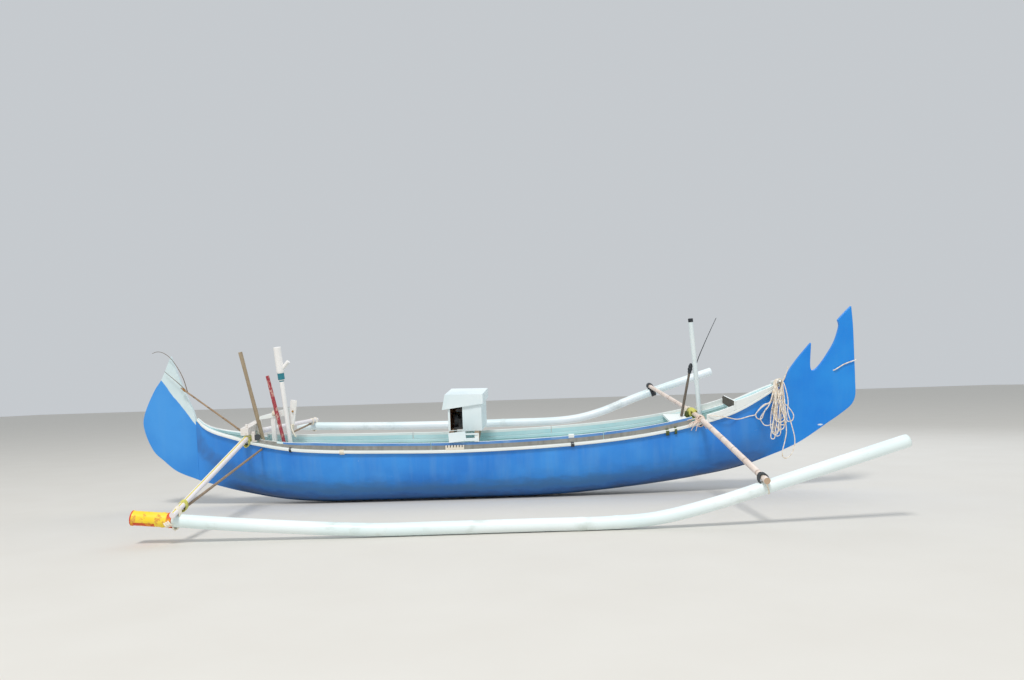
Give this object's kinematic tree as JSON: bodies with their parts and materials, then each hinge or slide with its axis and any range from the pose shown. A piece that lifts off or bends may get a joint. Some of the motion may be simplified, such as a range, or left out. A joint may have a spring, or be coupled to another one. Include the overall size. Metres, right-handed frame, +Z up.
{
  "type": "outrigger canoe",
  "caption": "Double outrigger fishing canoe with a blue hull, upswept blades at bow and stern, pipe floats on crossbeams and a boxed engine amidships.",
  "frame": {"origin": "middle of the box round the canoe, without its rope, on the ground it rests on", "axes": "+X forward along the hull, +Y to port, +Z up; the hull is heeled 8.8 degrees to starboard, as it lies ashore"},
  "size_m": [7.925, 4.7144, 1.9964],
  "materials": {
    "hull_paint": "weathered blue gloss enamel over glass fibre",
    "white_paint": "chalked white enamel on planks",
    "weathered_board": "weathered grey board, pale inside",
    "pale_paint": "pale blue-green enamel",
    "white_pipe": "satin white plastic pipe",
    "yellow_paint": "flaking yellow over red enamel",
    "bamboo": "dry bamboo",
    "bare_wood": "grey-brown bare wood",
    "engine_metal": "dark engine metal",
    "housing_board": "white painted plywood",
    "red_paint": "flaking red enamel",
    "rope": "cream three-strand rope"
  },
  "bodies": {
    "boat": {"hull_shell": "hull_paint", "bow_fin": "hull_paint", "stern_fin": "hull_paint", "rail_port": "white_paint", "washboard_port": "weathered_board", "rail_starboard": "white_paint", "washboard_starboard": "weathered_board", "foredeck": "white_paint", "bow_coaming_port": "white_paint", "bow_coaming_starboard": "white_paint", "bow_bulwark_starboard": "white_paint", "bow_coaming_end": "white_paint", "thwart_stern": "pale_paint", "thwart_aft": "pale_paint", "thwart_mid": "pale_paint", "thwart_mast": "white_paint", "bottom_board_aft": "pale_paint", "bottom_board_fore": "pale_paint", "float_starboard": "white_pipe", "float_port": "white_pipe", "float_sleeve_starboard": "yellow_paint", "fore_crossbeam": "bamboo", "stern_arm_starboard": "white_pipe", "stern_brace_starboard": "bare_wood", "stern_arm_port": "white_pipe", "stern_brace_port": "bare_wood", "stern_crossbeam": "weathered_board", "stern_pulley_block": "white_paint", "stern_peg": "white_paint", "mast": "white_pipe", "mast_step": "bare_wood", "fore_pole": "bare_wood", "rope_bar": "white_paint", "engine_bearer_aft": "bare_wood", "engine_bearer_fore": "bare_wood", "engine_block": "engine_metal", "engine_housing": "housing_board", "slotted_batten": "bamboo", "leaning_board": "housing_board", "crutch_post": "white_paint", "crutch_board": "white_paint", "pole_brown": "bare_wood", "pole_red": "red_paint", "pole_white": "white_paint", "paddle": "white_paint", "fishing_cane": "bamboo", "bow_rope_hank": "rope", "bow_rope_run": "rope"},
    "lid": {"engine_lid": "housing_board"}
  },
  "joints": [
    {"name": "lid_lift", "type": "slide", "parent": "boat", "child": "lid", "axis": [0, -0.1526, 0.9883], "range_m": [0, 0.25]}
  ]
}
